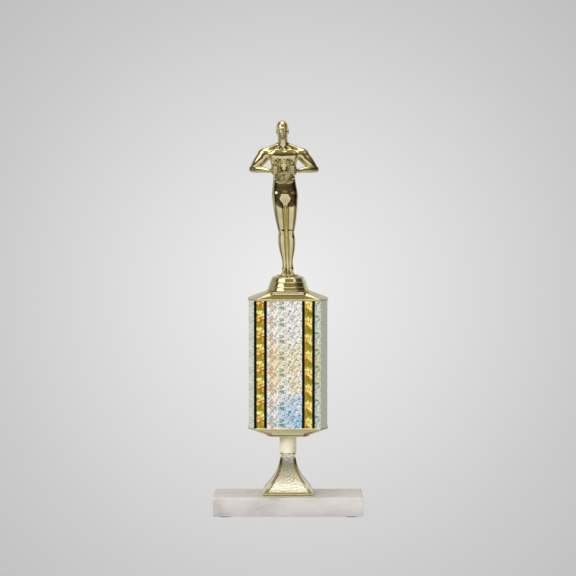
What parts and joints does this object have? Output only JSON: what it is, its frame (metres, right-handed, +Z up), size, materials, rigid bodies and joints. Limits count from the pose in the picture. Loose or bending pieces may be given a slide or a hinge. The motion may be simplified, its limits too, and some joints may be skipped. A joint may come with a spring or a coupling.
{
  "type": "award trophy",
  "caption": "Column trophy: standing gold figure holding a laurel wreath on a stepped dome, flat-octagon foil column between two lids, flared square riser and a marble slab.",
  "frame": {"origin": "middle of the marble slab's footprint, on the table under the felt pads", "axes": "+Z up through the rod and the figure's head; +X along the slab's long side; the front, which the figure faces, is -Y"},
  "size_m": [0.127, 0.0508, 0.3346],
  "materials": {
    "marble": "honed, faint warm veins",
    "felt": "matt",
    "steel": "zinc plated",
    "gold_plating": "bright metallised gold",
    "figure_gold": "bright metallised gold",
    "cream_sleeve": "satin, pale",
    "board": "matt",
    "silver_foil": "prismatic silver foil",
    "gold_foil": "prismatic gold foil",
    "black_tape": "semi-gloss"
  },
  "bodies": {
    "stand": {"felt_pad_front_left": "felt", "felt_pad_front_right": "felt", "felt_pad_rear_left": "felt", "felt_pad_rear_right": "felt", "marble_base": "marble", "flat_washer": "steel", "lock_washer": "steel", "base_nut": "steel", "tie_rod": "steel", "coupling_nut": "steel", "flared_riser": "gold_plating", "lower_lid": "gold_plating", "upper_lid": "gold_plating", "neck_sleeve": "cream_sleeve", "column_tube": "board", "silver_foil_wrap": "silver_foil", "black_tape_front_left": "black_tape", "black_tape_front_right": "black_tape", "black_tape_rear_left": "black_tape", "black_tape_rear_right": "black_tape", "gold_foil_front_left": "gold_foil", "gold_foil_front_right": "gold_foil", "gold_foil_rear_left": "gold_foil", "gold_foil_rear_right": "gold_foil"},
    "figure": {"figure": "figure_gold", "laurel_wreath": "figure_gold", "figure_base": "gold_plating", "figure_stud": "steel"}
  },
  "joints": [
    {"name": "figure_turn", "type": "hinge", "parent": "stand", "child": "figure", "pos_m": [0, 0, 0.19075], "axis": [0, 0, 1], "range_deg": [-180, 180]}
  ]
}
